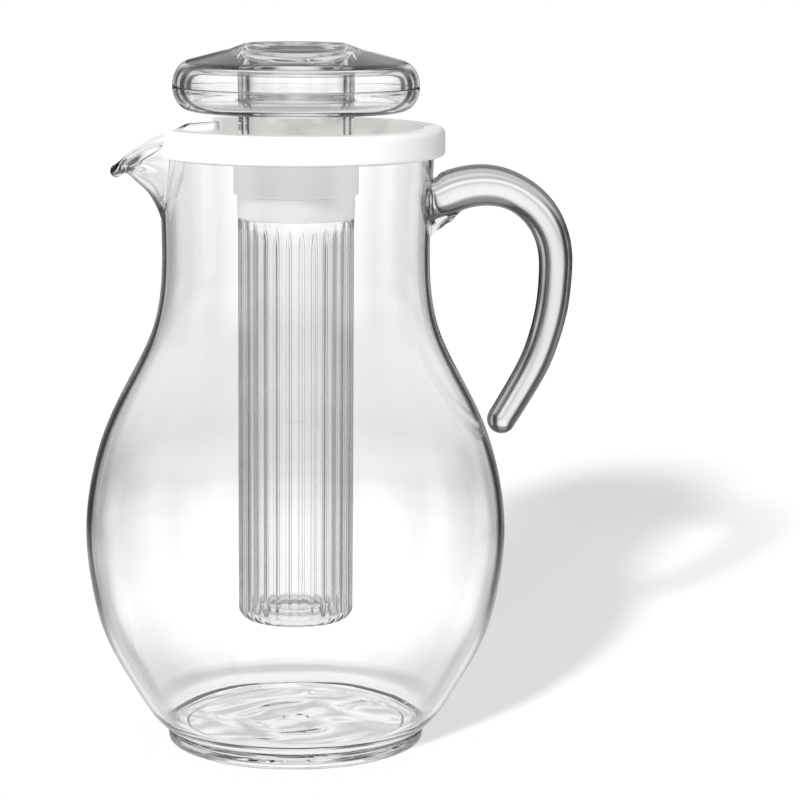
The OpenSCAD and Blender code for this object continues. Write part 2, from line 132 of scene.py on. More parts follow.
# %% Inside line, foot and floor
def rounded(corners, steps=5, closed=True):
    """An outline of (radius, height, rounding) whose corners give way to arcs. An arc of that radius starts
    and ends radius / tan(half the corner's angle) from the corner, and its centre lies on the bisector,
    radius / sin(half the angle) away. A support point stands just before and after each arc, so that the
    flats beside it stay flat."""
    least, most_of_side = 0.01, 0.44
    c = np.asarray(corners, float)
    p, rounding = c[:, :2], np.maximum(c[:, 2], least)
    back, on = np.roll(p, 1, 0) - p, np.roll(p, -1, 0) - p
    length_back, length_on = np.linalg.norm(back, axis=1), np.linalg.norm(on, axis=1)
    shorter = np.minimum(length_back, length_on)
    # where an open outline's two ends are one point, the side between them has no length to divide by
    back, on = back / np.maximum(length_back, 1e-9)[:, None], on / np.maximum(length_on, 1e-9)[:, None]
    half = np.arccos(np.clip((back * on).sum(1), -1, 1)) / 2
    half = np.minimum(half, np.pi / 2 - 1e-3)
    cut = np.minimum(rounding / np.tan(half), most_of_side * shorter)
    radius = cut * np.tan(half)
    bisector = (back + on) / np.linalg.norm(back + on, axis=1)[:, None]
    centre = p + bisector * (radius / np.sin(half))[:, None]
    turn = (np.pi - 2 * half)[:, None, None]
    t = np.linspace(0, 1, steps + 1)[None, :, None]
    first, last = (p + back * cut[:, None] - centre)[:, None], (p + on * cut[:, None] - centre)[:, None]
    arcs = centre[:, None] + (np.sin((1 - t) * turn) * first + np.sin(t * turn) * last) / np.sin(turn)
    support = np.minimum(0.15 * radius + 0.05, 0.1 * shorter)[:, None]
    before, after = arcs[:, 0] + back * support, arcs[:, -1] + on * support
    arcs = np.concatenate([before[:, None], arcs, after[:, None]], 1)
    if closed:
        return arcs.reshape(-1, 2)
    return np.vstack([p[:1], arcs[1:-1].reshape(-1, 2), p[-1:]])


def offset(line, distance):
    """The line moved to its left: every point goes along its tangent turned by a quarter."""
    tangent = np.gradient(line, axis=0)
    leftward = np.stack([-tangent[:, 1], tangent[:, 0]], 1)
    return line + distance * leftward / np.linalg.norm(tangent, axis=1)[:, None]


wall, floor_z, under_z, parallel_from_z = 2.2, 7.4, 1.4, 13
inside = offset(outside, wall)
inside = inside[inside[:, 1] > parallel_from_z]
floor_curve = [(44.6, floor_z), (46.6, 7.45), (49.6, 8.25), (53, 10.1), *inside[[0, 6, 12]]]
inside = np.vstack([smooth_through(floor_curve, 40)[:-8], inside[12:]])
foot = rounded([
    (0, under_z, 0), (43, under_z, 0.5), (43.4, 0, 0.45), (50.5, 0, 0.8), (51.15, 4.3, 0.5),
    (50.7, 4.75, 0.25), (51.4, 5.4, 0)], 4, closed=False)
# the floor's last three points are the dimple that the mould's gate leaves in the middle
floor = rounded([(44.6, floor_z, 0), (5.3, floor_z, 0.3), (4.7, 6.8, 0.4), (0, 6.8, 0)], 4, closed=False)
print("inside of", len(inside), "points, foot of", len(foot), "and floor of", len(floor))

# %% [markdown]
# ## The spout
# The spout leans out of the neck like a beak. It could be pulled out of a round neck with a sculpting
# brush, but its flanks would come out lumpy, so it is a formula. Its plan at any height is drawn between a
# diamond and an ellipse, and the neck's circle and that plan are joined by a smooth maximum, which leaves a
# soft fillet where they meet. The radius of a plan along a direction has no closed formula, so halving an
# interval finds it for all points at once.

# %% Radius of the jug's outside, spout included
spout_half, spout_root_z, spout_full_z = 25.6, 203.0, 236.0
spout_start = math.sqrt(rim_r**2 - spout_half**2)
spout_side = smooth_through([
    (49.8, 203), (52.1, 206.9), (52.9, 209.4), (55.2, 214), (57.5, 217.1), (59.8, 219.4), (62.5, 221.8),
    (66.8, 225.6), (68.75, 226.7), (71, 228.1), (73.6, 231.6), (76.3, 243.5)], 200)
plan_power, keel_mm, beak_side, fillet_mm, fillet_rise_mm = 1.5, 1.2, 1.2, 7, 12


def ease(x, low, high):
    """0 below low, 1 above high, and 3t^2 - 2t^3 between them."""
    t = np.clip((x - low) / (high - low), 0, 1)
    return t * t * (3 - 2 * t)


def plan_radius(angle, z):
    """Radius of the outside, with the angle from the spout's middle in radians. The beak's plan fills where
    (how far ahead / reach)^1.5 + (how far aside / half width)^1.5 is under 1, with the second power rounded
    off at the keel. Neck and beak give the larger of the two plus fillet * n^3 / 6, where n is 1 minus
    their difference / fillet, and 0 below that."""
    angle = np.abs((angle + np.pi) % (2 * np.pi) - np.pi)
    neck = np.interp(z, outside[:, 1], outside[:, 0])
    reach = np.maximum(np.interp(z, spout_side[:, 1], spout_side[:, 0]), spout_start + 1)
    rise = np.clip((z - spout_root_z) / (spout_full_z - spout_root_z), 0, 1)
    half = spout_half * np.sin(rise * np.pi / 2) ** 0.9 + 0.001
    full = (half**2 + keel_mm**2) ** (plan_power / 2) - keel_mm**plan_power
    low, high = np.zeros_like(neck), np.full_like(neck, 120.0)
    for _ in range(36):
        middle = (low + high) / 2
        ahead = np.maximum(middle * np.cos(angle) - spout_start, 0) / (reach - spout_start)
        aside = ((middle * np.sin(angle)) ** 2 + keel_mm**2) ** (plan_power / 2) - keel_mm**plan_power
        filled = ahead**plan_power + aside / full < 1
        low, high = np.where(filled, middle, low), np.where(filled, high, middle)
    # the formula also fills a strip behind the axis, so only what lies near the spout's middle counts
    beak = np.where(angle < beak_side, low, 0)
    fillet = fillet_mm * ease(z, spout_root_z, spout_root_z + fillet_rise_mm) + 1e-6
    near = np.clip(1 - np.abs(beak - neck) / fillet, 0, 1)
    return np.maximum(beak, neck) + fillet * near**3 / 6


spout_tip = plan_radius(np.zeros(1), np.full(1, spout_full_z))[0]
print("the spout reaches", spout_tip.round(1), "mm from the axis where it has its full width")

# %% [markdown]
# ## The pouring edge
# The edge is level round the neck and dips along the spout. How high it is depends on how far ahead it
# lies, and the spout's reach depends on the height. Taking the mean of the old and the new height twenty
# times brings the two together. The directions out of the edge and up from it will carry the lip.

# %% The edge and its directions
edge_line = smooth_through([
    (43, rim_z), (45, rim_z), (46.9, 240.7), (49.35, 239.1), (53.3, 237.4), (57.05, 235.8), (60.8, 233.3),
    (64.5, 230.7), (67.1, 228), (70, 225.4), (75.6, 220.5)], 200)
lip_deg = 38
fine, coarse = np.linspace(-lip_deg, lip_deg, 129), np.linspace(lip_deg, 360 - lip_deg, 161)
angles = np.radians(np.concatenate([fine, coarse[1:-1]]))


def shell_point(angle, z):
    """The outside's point at an angle and a height: radius times (-cos, sin), because the spout is at -X."""
    r = plan_radius(angle, z)
    return np.stack([-r * np.cos(angle), r * np.sin(angle), z + 0 * r], -1)


def shell_normal(angle, z):
    """Outward unit normal: the cross product of small steps round and up the outside."""
    n = np.cross(shell_point(angle, z + 0.05) - shell_point(angle, z - 0.05),
                 shell_point(angle + 0.002, z) - shell_point(angle - 0.002, z))
    # turned round wherever it points towards the axis
    n *= np.sign((n * shell_point(angle, 0 * z + 200) * [1, 1, 0]).sum(-1, keepdims=True))
    return n / np.linalg.norm(n, axis=-1, keepdims=True)


edge_z = np.full_like(angles, rim_z)
for _ in range(20):
    ahead = plan_radius(angles, edge_z) * np.cos(angles)
    edge_z = (edge_z + np.interp(ahead, edge_line[:, 0], edge_line[:, 1])) / 2
edge = shell_point(angles, edge_z)
edge_out = shell_normal(angles, edge_z)
edge_along = np.roll(edge, -1, 0) - np.roll(edge, 1, 0)
edge_up = np.cross(edge_out, edge_along)
edge_up *= np.sign(edge_up[:, 2:]) / np.linalg.norm(edge_up, axis=1)[:, None]
print("the edge runs from", edge_z.max().round(1), "down to", edge_z.min().round(1), "mm")
print("it reaches", -edge[:, 0].min().round(1), "mm ahead")

# %% [markdown]
# ## The rim and the lip
# The rim is a plain rounded wall, and along the spout it swells into a bead that curls outwards and lets
# the last drop fall. A Bevel would round both alike. Here both are one section, drawn in the plane across
# the edge: up the outer wall, round a circle, down the inner wall. The circle's radius, its middle and its
# two ends glide from the rim's values to the lip's as grow goes from 0 to 1.


# %% The rim's and lip's section
def heading(angle, size):
    """A step of some size along a circle, at an angle on it in radians: size times (-sin, cos)."""
    return size * np.stack([-np.sin(angle), np.cos(angle)], -1)


def glide(start, start_way, end, end_way, count):
    """A cubic from start to end that leaves and arrives along the given ways. Start and end weigh
    2t^3 - 3t^2 + 1 and 3t^2 - 2t^3, and the two ways t^3 - 2t^2 + t and t^3 - t^2."""
    t = np.linspace(0, 1, count)[:, None, None]
    return ((2 * t**3 - 3 * t**2 + 1) * start + (t**3 - 2 * t**2 + t) * start_way
            + (3 * t**2 - 2 * t**3) * end + (t**3 - t**2) * end_way)


# grow is 0 on the rim and 1 at the spout's tip
side_share = np.clip(np.abs(edge[:, 1]) / spout_half, 0, 1) ** 0.75
on_spout = np.cos(angles) > 0.78
forward_share = np.where(on_spout, 1 - np.arcsin(side_share) * 2 / np.pi, 0)
grow = np.clip(forward_share, 0, 1) ** 1.2
# the circle's radius is 1.1 mm in the middle of the rim's wall, and 2.6 mm outside the spout's
bead_r = 1.1 + 1.5 * grow
bead = np.stack([-1.1 + 2.76 * grow, -1.1 + 1.3 * grow], -1)
begin, end = np.radians(-100 * grow), np.radians(180 - 28 * grow)
bead_turn = begin + (end - begin) * np.linspace(0, 1, 19)[:, None]
circle = bead + bead_r[:, None] * np.stack([np.cos(bead_turn), np.sin(bead_turn)], -1)
# how far below the edge the section starts and ends
depth = 4 + 4 * grow
outer_end, inner_end = np.stack([0 * grow, -depth], -1), np.stack([0 * grow - wall, -depth - 1], -1)
# the longer a way, the straighter the curve leaves along it
going_up = np.stack([0 * grow, 3 + 4 * grow], -1)
outer_part = glide(outer_end, going_up, circle[0], heading(begin, 3.0), 8)
inner_part = glide(circle[-1], heading(end, 4.0), inner_end, -going_up, 8)
section = np.concatenate([outer_part[:-1], circle, inner_part[1:]])
print("rim and lip section:", section.shape[0], "rows of", section.shape[1], "points")

# %% [markdown]
# ## The walls near the edge
# The section now goes to its place at every point of the edge, and rows of points follow the outside and
# the inside down from it to where the neck is round. Below the edge the points lie on the outside itself.
# A straight step down would leave the spout's curved flank and show as a dent.


# %% Rim, lip and the two sides of the neck
def wall_points(out, up):
    """Points near the edge, given by how far they lie out of the outside and up along it. Below the edge
    they follow the outside itself, above it they follow its direction at the edge."""
    z = edge_z + np.minimum(up, 0) * edge_up[:, 2]
    a = np.broadcast_to(angles, z.shape)
    return shell_point(a, z) + shell_normal(a, z) * out[..., None] + edge_up * np.maximum(up, 0)[..., None]


# up to this height the jug is round
round_to_z = 190.0
share = np.linspace(0, 1, 38)[:, None]
outer_z = round_to_z + (edge_z - depth * edge_up[:, 2] - round_to_z) * share[:-1]
inner_z = round_to_z + (edge_z - (depth + 1) * edge_up[:, 2] - round_to_z) * share[::-1][1:]
neck_angles = np.broadcast_to(angles, outer_z.shape)
outer_neck = shell_point(neck_angles, outer_z)
inner_neck = shell_point(neck_angles, inner_z) - wall * shell_normal(neck_angles, inner_z)
rim = wall_points(section[..., 0], section[..., 1])
print("the rim's top is at", rim[..., 2].max().round(2), "mm")

# %% [markdown]
# ## The jug in one skin
# The rows now stack from the middle of the underside, out over the foot, up the bowl and neck, over the rim
# and down inside to the middle of the floor: one closed skin, so that light bends at every wall as in the
# real one. A Solidify modifier could give a single skin its second side, but the floor, the foot and the
# lip each have a thickness of their own.


# %% Rows of the jug
def evenly(line, count):
    """The line with that many points, spaced evenly along its length and interpolated between its own."""
    s = distance_along(line)
    t = np.linspace(0, s[-1], count)
    return np.stack([np.interp(t, s, line[:, 0]), np.interp(t, s, line[:, 1])], 1)


def turned(line, angles):
    """The surface that an outline of (radius, height) sweeps as it turns about Z, one column an angle:
    (radius cos, radius sin, height)."""
    r, z = line[:, 0][:, None], line[:, 1][:, None]
    return np.stack([r * np.cos(angles), r * np.sin(angles), z + 0 * angles], -1)


turn_z = np.pi - angles
bowl = evenly(outside[outside[:, 1] <= round_to_z - 0.5], 66)[1:]
bowl_in = evenly(inside[inside[:, 1] <= round_to_z - 0.5][::-1], 62)
under_flat = np.stack([np.linspace(0, 42, 18), np.full(18, under_z)], 1)
floor_flat = np.stack([np.linspace(43.5, 6, 17), np.full(17, floor_z)], 1)
floor_line = np.vstack([floor_flat, floor[1:]])
jug_grid = np.concatenate([
    turned(np.vstack([under_flat, foot[1:]]), turn_z), turned(bowl, turn_z), outer_neck, rim, inner_neck,
    turned(bowl_in, turn_z), turned(floor_line, turn_z)])
print("the jug has", jug_grid.shape[0], "rows of", jug_grid.shape[1], "points")

# %% [markdown]
# ## Sink waves in the thick floor
# The thick floor cooled last and sank unevenly, which is why its rings and swirls show. A bump in the
# material would bend the light too, but it would be missing from the mesh. Slow waves up to half a
# millimetre deep move the points themselves, and they fade out where the floor meets the wall. The
# underside and the floor get different parts of the same waves.


# %% Sink the underside and the floor
def sunk(grid):
    """Height of the sink waves at each point of a grid: 0.16 cos(distance from the axis / 3.3 + 1.5 swirl)
    plus 0.32 swirl, where swirl is a sine along X, itself bent along Y, times a cosine along Y."""
    x, y = grid[..., 0], grid[..., 1]
    swirl = np.sin(x / 7.3 + 1.3 * np.sin(y / 9.1)) * np.cos(y / 8.3 + 0.8)
    return 0.16 * np.cos(np.hypot(x, y) / 3.3 + 1.5 * swirl) + 0.32 * swirl


# the floor's waves begin in the curve up to the wall, whose last rows belong to the bowl's inside
curve_rows, fade_mm = 14, 8
under_rows = slice(0, len(under_flat))
floor_rows = slice(len(jug_grid) - len(floor_line) - curve_rows, None)
for rows, ends_at_r, shifted in ((under_rows, 42, 0), (floor_rows, 53, 3)):
    flat_r = np.hypot(jug_grid[rows, :, 0], jug_grid[rows, :, 1])
    fade = 1 - ease(flat_r, ends_at_r - fade_mm, ends_at_r)
    jug_grid[rows, :, 2] += sunk(jug_grid[rows] + shifted) * fade
print("the floor now lies between", jug_grid[-20:, :, 2].min().round(2), "and",
      jug_grid[-20:, :, 2].max().round(2), "mm")

# %% [markdown]
# ## From a grid to a mesh
# A grid of points becomes a mesh by joining each four neighbours to a face. Blender's own primitives and
# modifiers can't take a formula, so all pieces go through this one function. Where a row shrinks to a
# pole, its points fall together and are merged.


# %% Build the jug
def grid_mesh(name, *grids, ring=True, loop=False, caps=(), crease=38):
    """A mesh object from grids of points in mm. ring joins each row to its own start, loop joins a grid's
    last row to its first, and caps are extra flat outlines. Doubled points are merged before the faces are
    turned outwards. Edges sharper than crease degrees are drawn sharp."""
    faces, points, count = [], [], 0
    for grid in grids:
        index = count + np.arange(grid.shape[0] * grid.shape[1]).reshape(grid.shape[:2])
        if ring:
            index = np.hstack([index, index[:, :1]])
        if loop:
            index = np.vstack([index, index[:1]])
        corners = np.stack([index[:-1, :-1], index[:-1, 1:], index[1:, 1:], index[1:, :-1]], -1)
        faces += corners.reshape(-1, 4).tolist()
        points.append(grid.reshape(-1, 3))
        count += len(points[-1])
    for cap in caps:
        faces.append(list(range(count, count + len(cap))))
        points.append(cap)
        count += len(cap)
    mesh = bpy.data.meshes.new(name)
    mesh.from_pydata((np.vstack(points) * 0.001).tolist(), [], faces)
    shape = bmesh.new()
    shape.from_mesh(mesh)
    bmesh.ops.remove_doubles(shape, verts=shape.verts, dist=2e-6)
    bmesh.ops.recalc_face_normals(shape, faces=shape.faces)
    shape.to_mesh(mesh)
    shape.free()
    mesh.shade_smooth()
    mesh.set_sharp_from_angle(angle=math.radians(crease))
    piece = bpy.data.objects.new(name, mesh)
    bpy.context.scene.collection.objects.link(piece)
    print(f"{name}: {len(mesh.vertices)} points, {len(mesh.polygons)} faces")
    return piece


jug = grid_mesh("clear_jug_body", jug_grid)

# %% [markdown]
# ## The handle
# The handle is a solid bar of the same plastic, bonded to the neck at its upper root and free at its lower
# end. A curve with a round bevel would do for a pipe, but this bar's section changes on its way, so each
# section is worked out and set across the bar's middle line. That line was measured as shares of the
# handle's reach and height. A third number says how thin the bar has become: 16 mm at 0, 11.2 mm at 1.

# %% The bar's middle line and its size
bar_shares = np.array([
    (0.01, 0.936, -0.36), (0.09, 0.957, -0.23), (0.273, 0.992, -0.12), (0.478, 1, 0.02),
    (0.682, 0.968, 0.31), (0.841, 0.904, 0.42), (0.947, 0.818, 0.52), (0.998, 0.716, 0.58), (1, 0.608, 0.65),
    (0.976, 0.481, 0.71), (0.929, 0.373, 0.79), (0.859, 0.263, 0.85), (0.751, 0.15, 0.92), (0.586, 0, 1)])
neck_x, bar_reach, bar_low_z, bar_height, tip_r = 52.1, 49, 128.3, 92.2, 5.6
bar_x, bar_z = neck_x + bar_reach * bar_shares[:, 0], bar_low_z + bar_height * bar_shares[:, 1]
bar_line = smooth_through(np.stack([bar_x, bar_z, bar_shares[:, 2]], 1), 150)
along = np.gradient(bar_line[:, :2], axis=0)
along /= np.linalg.norm(along, axis=1)[:, None]
walked = distance_along(bar_line[:, :2])
# the tip is half an ellipse: steps of tip_r times the sine, sizes times the cosine
end_share = np.sin(np.linspace(0, np.pi / 2, 12))[1:]
tip = bar_line[-1, :2] + along[-1] * tip_r * end_share[:, None]
centres = np.vstack([bar_line[:, :2], tip])
ways = np.vstack([along, np.repeat(along[-1:], len(tip), 0)])
thin = np.concatenate([bar_line[:, 2], np.ones(len(tip))])
shrink = np.concatenate([np.ones(len(bar_line)), np.sqrt(np.maximum(1 - end_share**2, 0))])
walked = np.concatenate([walked, walked[-1] + tip_r * end_share])
# the root is a tenth larger, which dies away within a few millimetres
flare = 1 + 0.1 * np.exp(-walked / 2.5)
half_thick, half_wide = (16 - 4.8 * thin) * shrink * flare / 2, (16.5 - 3.5 * thin) * shrink * flare / 2
print("the bar is", walked[-1].round(1), "mm long and", (2 * half_thick[0]).round(1), "mm thick at the root")

# %% [markdown]
# ## The bar's section
# The section lies between an ellipse and a rectangle: a superellipse, whose power of 2.3 is a little more
# than the ellipse's 2. A thin rib stands under the root. Two joined pieces would show a seam in clear
# plastic, so the rib is a narrow rectangle in the same polar form, and the larger radius of the two wins,
# with a small fillet between them.


# %% Sections along the bar
def around(count):
    """That many angles, evenly spaced over one turn."""
    return np.linspace(0, 2 * np.pi, count, endpoint=False)


power, rib_half, rib_drop, rib_length, rib_fillet = 2.3, 2, 6.2, 10, 3.0
c, s = np.cos(around(72))[None], np.sin(around(72))[None]
share_c = np.abs(c / np.maximum(half_thick, 1e-6)[:, None])
share_s = np.abs(s / np.maximum(half_wide, 1e-6)[:, None])
# superellipse in polar form: (|cos / half thick|^p + |sin / half wide|^p)^(-1/p)
bar_r = (share_c**power + share_s**power) ** (-1 / power)
rib_depth = (half_thick + rib_drop * (1 - ease(walked, 0, rib_length)))[:, None]
rib_box = np.minimum(rib_half / np.maximum(np.abs(s), 1e-3), rib_depth / np.maximum(np.abs(c), 1e-3))
rib_r = np.where(c < 0, rib_box, 0)
# rib and fillet end 12 mm along the bar
near = np.clip(1 - np.abs(bar_r - rib_r) / rib_fillet, 0, 1) * (1 - ease(walked, 8, 12))[:, None]
section_r = np.where((walked < 11)[:, None], np.maximum(bar_r, rib_r), bar_r) + rib_fillet * near**3 / 6
out_x, out_z = -ways[:, 1:2], ways[:, 0:1]
bar_grid = np.stack([
    centres[:, :1] + out_x * section_r * c, section_r * s, centres[:, 1:] + out_z * section_r * c], -1)
print("the rib reaches", rib_depth[0, 0].round(1), "mm below the bar's middle at the root")

# %% [markdown]
# ## The bond
# The root meets a round neck, so a flat end would stand off at its sides. Cutting it with the neck's shape
# would fit, but leave ragged faces. Here the first sections slide along X until the end lies on the neck,
# and rings of points close that end on the same curve. A hair line of 0.05 mm stays free for the bond.


# %% Build the handle
hair_line, slide_mm = 0.05, 5


def neck_face(y, z):
    """X of the neck's outside at a width and a height: sqrt((radius + hair line)^2 - y^2)."""
    return np.sqrt((np.interp(z, outside[:, 1], outside[:, 0]) + hair_line) ** 2 - y**2)


root = bar_grid[0]
shift = neck_face(root[:, 1], root[:, 2]) - root[:, 0]
bar_grid[..., 0] += np.exp(-((walked / slide_mm) ** 2))[:, None] * shift
middle = bar_grid[0].mean(0)
shares = np.linspace(0, 1, 8)[:-1, None]
root_y = middle[1] + (bar_grid[0][:, 1] - middle[1]) * shares
root_z = middle[2] + (bar_grid[0][:, 2] - middle[2]) * shares
root_cap = np.stack([neck_face(root_y, root_z), root_y, root_z], -1)
handle = grid_mesh("clear_handle", np.concatenate([root_cap, bar_grid]), crease=60)

# %% [markdown]
# ## The lid
# The lid is one white moulding: a C-shaped rim over the jug's edge, open where the spout is, a sunken dish,
# and a collar in the middle that takes the ice tube from below and the knob's stem from above. Cutting the
# gap out of a whole ring would leave long thin faces. So the full outline sweeps round the rim, and a lower
# outline without the rim sweeps through the gap. They share every other point, and merging doubled points
# joins them.

# %% Build the lid
lid_turn, gap_half = math.radians(9.8), math.radians(41.5)
# the points at (0, 0) only steer the first and the last arc, and are cut off
dish_and_collar = rounded([
    (0, 0, 0), (50.76, 232.5, 0.8), (24.3, 232.5, 0.6), (24.3, 216.9, 0.5), (22.5, 216.9, 0.25),
    (22.5, 224.5, 0.2), (20.35, 224.5, 0.25), (20.35, 226, 0.25), (22.75, 226, 0.2), (22.75, 234.5, 0.9),
    (49.16, 234.5, 1.1), (0, 0, 0)], 4, closed=False)[1:-1]
common = np.vstack([[(50.76, 236.6)], dish_and_collar, [(49.16, 236.9)]])
rim_part = rounded([
    (49.16, 236.9, 0), (49.16, 243.2, 0.6), (57.7, 243.2, 2.6), (57.7, 232.2, 1.4), (54.25, 232.2, 0.4),
    (54.25, 241.65, 0.4), (50.76, 241.65, 0.3), (50.76, 236.6, 0)], 8, closed=False)[1:-1]
weir_part = rounded([
    (49.16, 236.9, 0), (49.16, 238.6, 0.7), (50.76, 238.6, 0.7), (50.76, 236.6, 0)], 8, closed=False)[1:-1]
gap_angles = np.pi - lid_turn + np.linspace(-gap_half, gap_half, 60)
rim_angles = np.pi - lid_turn + np.linspace(gap_half, 2 * np.pi - gap_half, 200)
whole, low = np.vstack([common, rim_part]), np.vstack([common, weir_part])
end_face = np.vstack([common[-1:], rim_part, common[:1], weir_part[::-1]])
ends = [turned(end_face, a)[:, 0] for a in rim_angles[[0, -1], None]]
sweeps = turned(whole, rim_angles), turned(low, gap_angles)
lid = grid_mesh("white_lid", *sweeps, ring=False, loop=True, caps=ends)

# %% [markdown]
# ## The ice tube
# The tube holds crushed ice and hangs into the drink. It is a clear moulding with twenty-eight shallow
# flutes. Twenty-eight cutters could carve them, but a turned tube whose outside is pulled in by a formula
# is smoother and lighter. A flute is a dent whose depth follows a parabola between two ridges. The flutes
# fade out over the rounded bottom and just below the collar, and the inside is smooth, so each flute acts
# as a small lens.

# %% Build the ice tube
tube_r, tube_in_r, flutes, flute_depth = 22.65, 20.95, 28, 0.45
tube_angles = around(flutes * 12)
tube_foot = rounded([
    (0, 53, 0), (12.6, 53, 3.2), (12.6, 48.4, 2.4), (tube_r, 48.4, 7.6), (tube_r, 100, 0)], 14, closed=False)
tube_out = evenly(tube_foot, 90)
flank = np.stack([np.full(24, tube_r), np.linspace(102, 207, 24)], 1)
neck_and_inside = rounded([
    (tube_r, 100, 0), (tube_r, 207.9, 0.35), (21.0, 207.9, 0.2), (21.0, 215, 0.4), (19.5, 215, 0.3),
    (tube_in_r, 204, 6), (tube_in_r, 50.1, 6.0), (14.2, 50.1, 2.2), (14.2, 54.7, 3.6), (0, 54.7, 0)], 10,
    closed=False)
tube_line = np.vstack([tube_out, flank, neck_and_inside[1:]])
# 0 in the middle of a flute, 1 on the ridge between two
across_flute = np.abs((tube_angles * flutes / (2 * np.pi) + 0.5) % 1 - 0.5) * 2
dent = flute_depth * (1 - across_flute**2)
on_outside = np.zeros(len(tube_line))
on_outside[: len(tube_out) + len(flank)] = 1
# full on the flank, fading over the rounded bottom and below the collar
strength = on_outside * ease(tube_line[:, 0], 17, 21.5) * (1 - ease(tube_line[:, 1], 202, 205.5))
tube_grid = turned(tube_line, tube_angles)
tube_grid[..., :2] *= (1 - strength[:, None] * dent / tube_line[:, :1].clip(1))[..., None]
tube = grid_mesh("clear_ice_tube", tube_grid, crease=50)

# %% [markdown]
# ## The tube's collar and the seals
# The white collar closes the tube's top and ends in a spigot with a coarse thread, which screws into the
# lid. Two silicone rings seal the tube and hold the knob. All are turned shapes, which a Screw modifier
# would make as well. The same grids as above are used, because the thread is then only a ridge added to
# the spigot's radius, which climbs by one pitch a turn.

# %% Build the collar and the seals
circle_angles = around(192)
spigot_r, pitch_mm, thread_height = 21.9, 2.4, 0.45
band = rounded([
    (21.1, 215.2, 0), (21.1, 208, 0.2), (22.9, 208, 0.3), (22.9, 216.85, 0.45), (spigot_r, 216.85, 0.1),
    (spigot_r, 217.6, 0)], 5, closed=False)
spigot = np.stack([np.full(28, spigot_r), np.linspace(217.6, 222.6, 28)], 1)
bore = rounded([
    (spigot_r, 222.6, 0), (spigot_r, 223, 0.2), (20.4, 223, 0.3), (20.4, 215.6, 0.2), (21.1, 215.2, 0)], 5,
    closed=False)
collar_grid = turned(np.vstack([band, spigot[1:-1], bore]), circle_angles)
rows = slice(len(band), len(band) + len(spigot) - 2)
height_mm = collar_grid[rows, :, 2]
# the thread's ridge, from 0 to 1: ((1 + cos(2 pi height / pitch - angle)) / 2)^3
ridge = (0.5 + 0.5 * np.cos(2 * np.pi * height_mm / pitch_mm - circle_angles)) ** 3
ridge *= ease(height_mm, 217.7, 218.3) * (1 - ease(height_mm, 222, 222.6))
collar_grid[rows, :, :2] *= (1 + thread_height * ridge / spigot_r)[..., None]
tube_collar = grid_mesh("white_tube_collar", collar_grid, loop=True)
flat_ring = rounded([
    (20.6, 223.03, 0.6), (22.35, 223.03, 0.6), (22.35, 224.47, 0.6), (20.6, 224.47, 0.6)])
stem_ring = rounded([
    (21.2, 230.05, 0.5), (22.72, 230.05, 0.7), (22.72, 231.55, 0.7), (21.2, 231.55, 0.5)])
tube_seal = grid_mesh("silicone_tube_seal", turned(flat_ring, circle_angles), loop=True)
knob_seal = grid_mesh("silicone_knob_seal", turned(stem_ring, circle_angles), loop=True)

# %% [markdown]
# ## The knob
# The knob is hollow. A lower shell carries the stem, and an upper shell with a shallow recess is welded
# onto it at the widest place. One solid lump would be simpler, but the real knob shows its stem and its
# floor through the upper shell. Both shells are outlines with elliptical sides, and a gap of 0.06 mm
# between them draws the weld.


# %% Build the knob's two halves
def arc_line(middle, rx, rz, start, stop, count):
    """Points on an ellipse about the middle, between two angles in degrees: (rx cos, rz sin)."""
    a = np.radians(np.linspace(start, stop, count))
    return np.stack([middle[0] + rx * np.cos(a), middle[1] + rz * np.sin(a)], 1)


base_middle, top_middle, side_out, side_in = (40.2, 258.35), (40.2, 258.45), 7.6, 4.6
stem = rounded([
    (30, 252, 0), (22.6, 252, 0.8), (22.6, 266.45, 0.2), (20.2, 266.45, 0.3), (20.2, 226, 0.4),
    (22.6, 226, 0.5), (22.6, 229.98, 0.1), (21.2, 229.98, 0.2), (21.2, 231.62, 0.2), (22.6, 231.62, 0.1),
    (22.6, 249, 1.3), (30, 249, 0)], 6, closed=False)
base_weld = rounded([
    (47.77, 257.6, 0), (47.8, 258.37, 0.3), (44.8, 258.37, 0.3), (44.8, 257.9, 0)], 5, closed=False)
knob_base_line = np.vstack([
    stem, arc_line(base_middle, side_out, 9.35, -90, -5, 26), base_weld,
    arc_line(base_middle, side_in, 6.35, -5, -90, 18)])
knob_base = grid_mesh("clear_knob_base", turned(knob_base_line, circle_angles), loop=True)
slope_and_recess = rounded([
    (41.5, 268.5, 0), (24.6, 273, 1.6), (19.6, 274.85, 0.9), (18.6, 274.85, 0.7), (17, 269.5, 1.6),
    (0, 269.5, 0)], 7, closed=False)
under_slope = rounded([
    (0, 266.5, 0), (22.6, 266.5, 0.3), (22.6, 268.8, 0.9), (39.6, 265.7, 0)], 6, closed=False)
top_weld = rounded([
    (44.8, 258.9, 0), (44.8, 258.43, 0.3), (47.8, 258.43, 0.3), (47.77, 259.2, 0)], 5, closed=False)
knob_top_line = np.vstack([
    arc_line(top_middle, side_out, 10.15, 5, 72, 22), slope_and_recess, under_slope,
    arc_line(top_middle, side_in, 7.15, 84, 5, 16), top_weld])
knob_top = grid_mesh("clear_knob_top", turned(knob_top_line, circle_angles), loop=True)

# %% [markdown]
# ## Colours and nodes
# A material is a tree of nodes. One wired by hand in the shader editor can't be built again by a script,
# so a small function adds a node with its settings and links. Blender reckons in linear light, while
# colours are known as the hex values of a screen, so another function turns one into the other.


# %% Colours and nodes
def linear(hex_colour):
    """A colour written as an sRGB hex value, as Blender's linear light with alpha 1: c / 12.92 up to
    0.04045, else ((c + 0.055) / 1.055)^2.4."""
    channels = [int(hex_colour[i:i + 2], 16) / 255 for i in (1, 3, 5)]
    return [c / 12.92 if c <= 0.04045 else ((c + 0.055) / 1.055) ** 2.4 for c in channels] + [1]


